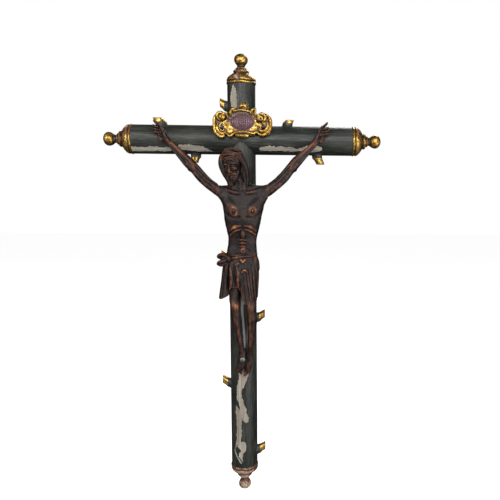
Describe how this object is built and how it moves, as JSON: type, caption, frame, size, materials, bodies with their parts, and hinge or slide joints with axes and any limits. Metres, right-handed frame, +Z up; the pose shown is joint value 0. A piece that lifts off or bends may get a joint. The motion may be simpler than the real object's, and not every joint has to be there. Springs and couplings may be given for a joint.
{
  "type": "altar cross",
  "caption": "Hanging altar cross of round painted beams with turned gilt finials, cut branch stubs, a carved cartouche and a carved corpus; hangs from a link on its back.",
  "frame": {"origin": "centre of the hanging link's large eye, with the link hanging straight down", "axes": "+Z up along the upright beam, +Y towards the wall along the eye's axis, +X to the right as seen from the front"},
  "size_m": [0.4261, 0.0987, 0.7],
  "materials": {
    "painted_wood": "green-black paint over gesso, chipped, low sheen",
    "gilded_wood": "worn gilding over red-brown bole",
    "walnut": "dark stained, rubbed on the high points",
    "plain_wood": "bare dowel wood",
    "tablet_paint": "worn purple-red paint",
    "iron": "dark forged iron",
    "steel": "dull bright steel"
  },
  "bodies": {
    "cross": {"cartouche_frame": "gilded_wood", "cartouche_nails": "steel", "cartouche_tablet": "tablet_paint", "corpus_arm_left": "walnut", "corpus_arm_right": "walnut", "corpus_back_screw": "iron", "corpus_body": "walnut", "cross_beam": "painted_wood", "finial_bottom": "gilded_wood", "finial_left": "gilded_wood", "finial_right": "gilded_wood", "finial_top": "gilded_wood", "foot_screw": "steel", "hand_nails": "iron", "hanger_staple": "iron", "lap_pegs": "plain_wood", "shoulder_dowels": "plain_wood", "stub_bar_left_lower": "gilded_wood", "stub_bar_left_upper": "gilded_wood", "stub_bar_right_lower": "gilded_wood", "stub_bar_right_upper": "gilded_wood", "stub_shaft_foot": "gilded_wood", "stub_shaft_knee": "gilded_wood", "stub_shaft_shin": "gilded_wood", "stub_shaft_top": "gilded_wood", "stub_shaft_waist": "gilded_wood", "upright_beam": "painted_wood"},
    "hanger": {"hanging_link": "iron"}
  },
  "joints": [
    {"name": "hanger_swing", "type": "hinge", "parent": "cross", "child": "hanger", "pos_m": [0, 0, 0.0165], "axis": [1, 0, 0], "range_deg": [0, 175]}
  ]
}
